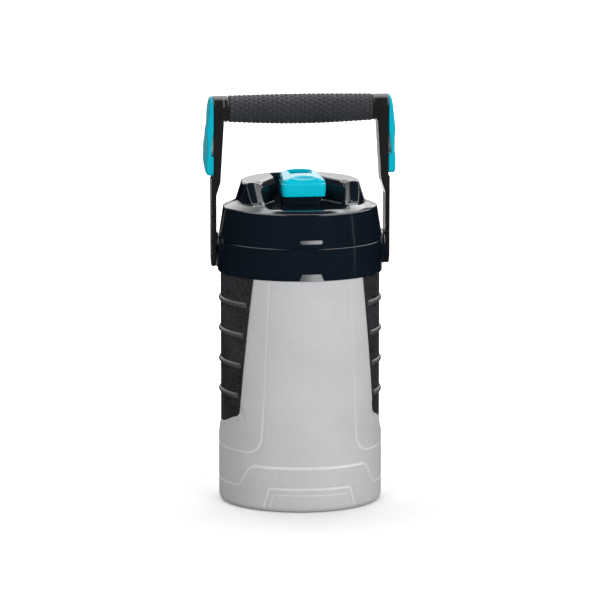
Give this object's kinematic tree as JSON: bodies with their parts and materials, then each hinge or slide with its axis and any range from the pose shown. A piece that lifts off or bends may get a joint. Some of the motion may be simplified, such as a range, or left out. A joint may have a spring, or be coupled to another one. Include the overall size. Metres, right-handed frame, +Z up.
{
  "type": "insulated water jug",
  "caption": "Round insulated water jug with rubber side grips, a screw lid, a flip-cap drinking spout and a swinging bail handle with fence hooks.",
  "frame": {"origin": "middle of the base ring, on the surface the jug stands on", "axes": "+Z up along the jug's axis, front of the spout and cap towards -Y, handle pivots on the X axis"},
  "size_m": [0.1512, 0.133, 0.3256],
  "materials": {
    "silver_body": "satin silver grey with a fine metallic grain",
    "insulation": "rigid cream foam",
    "liner_white": "smooth food-grade white",
    "grip_rubber": "fine-grained charcoal rubber",
    "navy_gloss": "glossy near-black navy",
    "arm_black": "satin black",
    "sleeve_rubber": "textured dark slate rubber",
    "teal_gloss": "glossy teal",
    "seal_rubber": "soft translucent grey silicone",
    "pin_steel": "brushed steel"
  },
  "bodies": {
    "jug": {"outer_shell": "silver_body", "foam_core": "insulation", "inner_liner": "liner_white", "base_plug": "silver_body", "left_grip": "grip_rubber", "right_grip": "grip_rubber", "collar": "navy_gloss", "left_pivot_pin": "arm_black", "right_pivot_pin": "arm_black"},
    "handle": {"left_arm": "arm_black", "right_arm": "arm_black", "grip_core": "arm_black", "grip_sleeve": "sleeve_rubber", "core_screws": "pin_steel", "left_hook": "teal_gloss", "right_hook": "teal_gloss"},
    "lid_seal": {"lid_gasket": "seal_rubber"},
    "lid": {"lid_shell": "navy_gloss", "lid_foam": "insulation", "lid_liner": "liner_white", "spout": "navy_gloss", "spout_seal": "seal_rubber", "spout_nut": "liner_white", "cap_hinge_pin": "pin_steel"},
    "cap": {"flip_cap": "teal_gloss", "cap_seal": "seal_rubber"}
  },
  "joints": [
    {"name": "handle_swing", "type": "hinge", "parent": "jug", "child": "handle", "pos_m": [0, 0, 0.2025], "axis": [1, 0, 0], "range_deg": [-130, 130]},
    {"name": "lid_lift", "type": "slide", "parent": "jug", "child": "lid_seal", "axis": [0, 0, 1], "range_m": [0, 0.012]},
    {"name": "lid_turn", "type": "hinge", "parent": "lid_seal", "child": "lid", "pos_m": [0, 0, 0.2105], "axis": [0, 0, 1], "range_deg": [0, 540]},
    {"name": "cap_flip", "type": "hinge", "parent": "lid", "child": "cap", "pos_m": [0, 0.0155, 0.2506], "axis": [-1, 0, 0], "range_deg": [0, 110]}
  ],
  "couplings": [
    {"joint": "lid_lift", "follows": "lid_turn", "m_per_rad": 0.0012732}
  ]
}
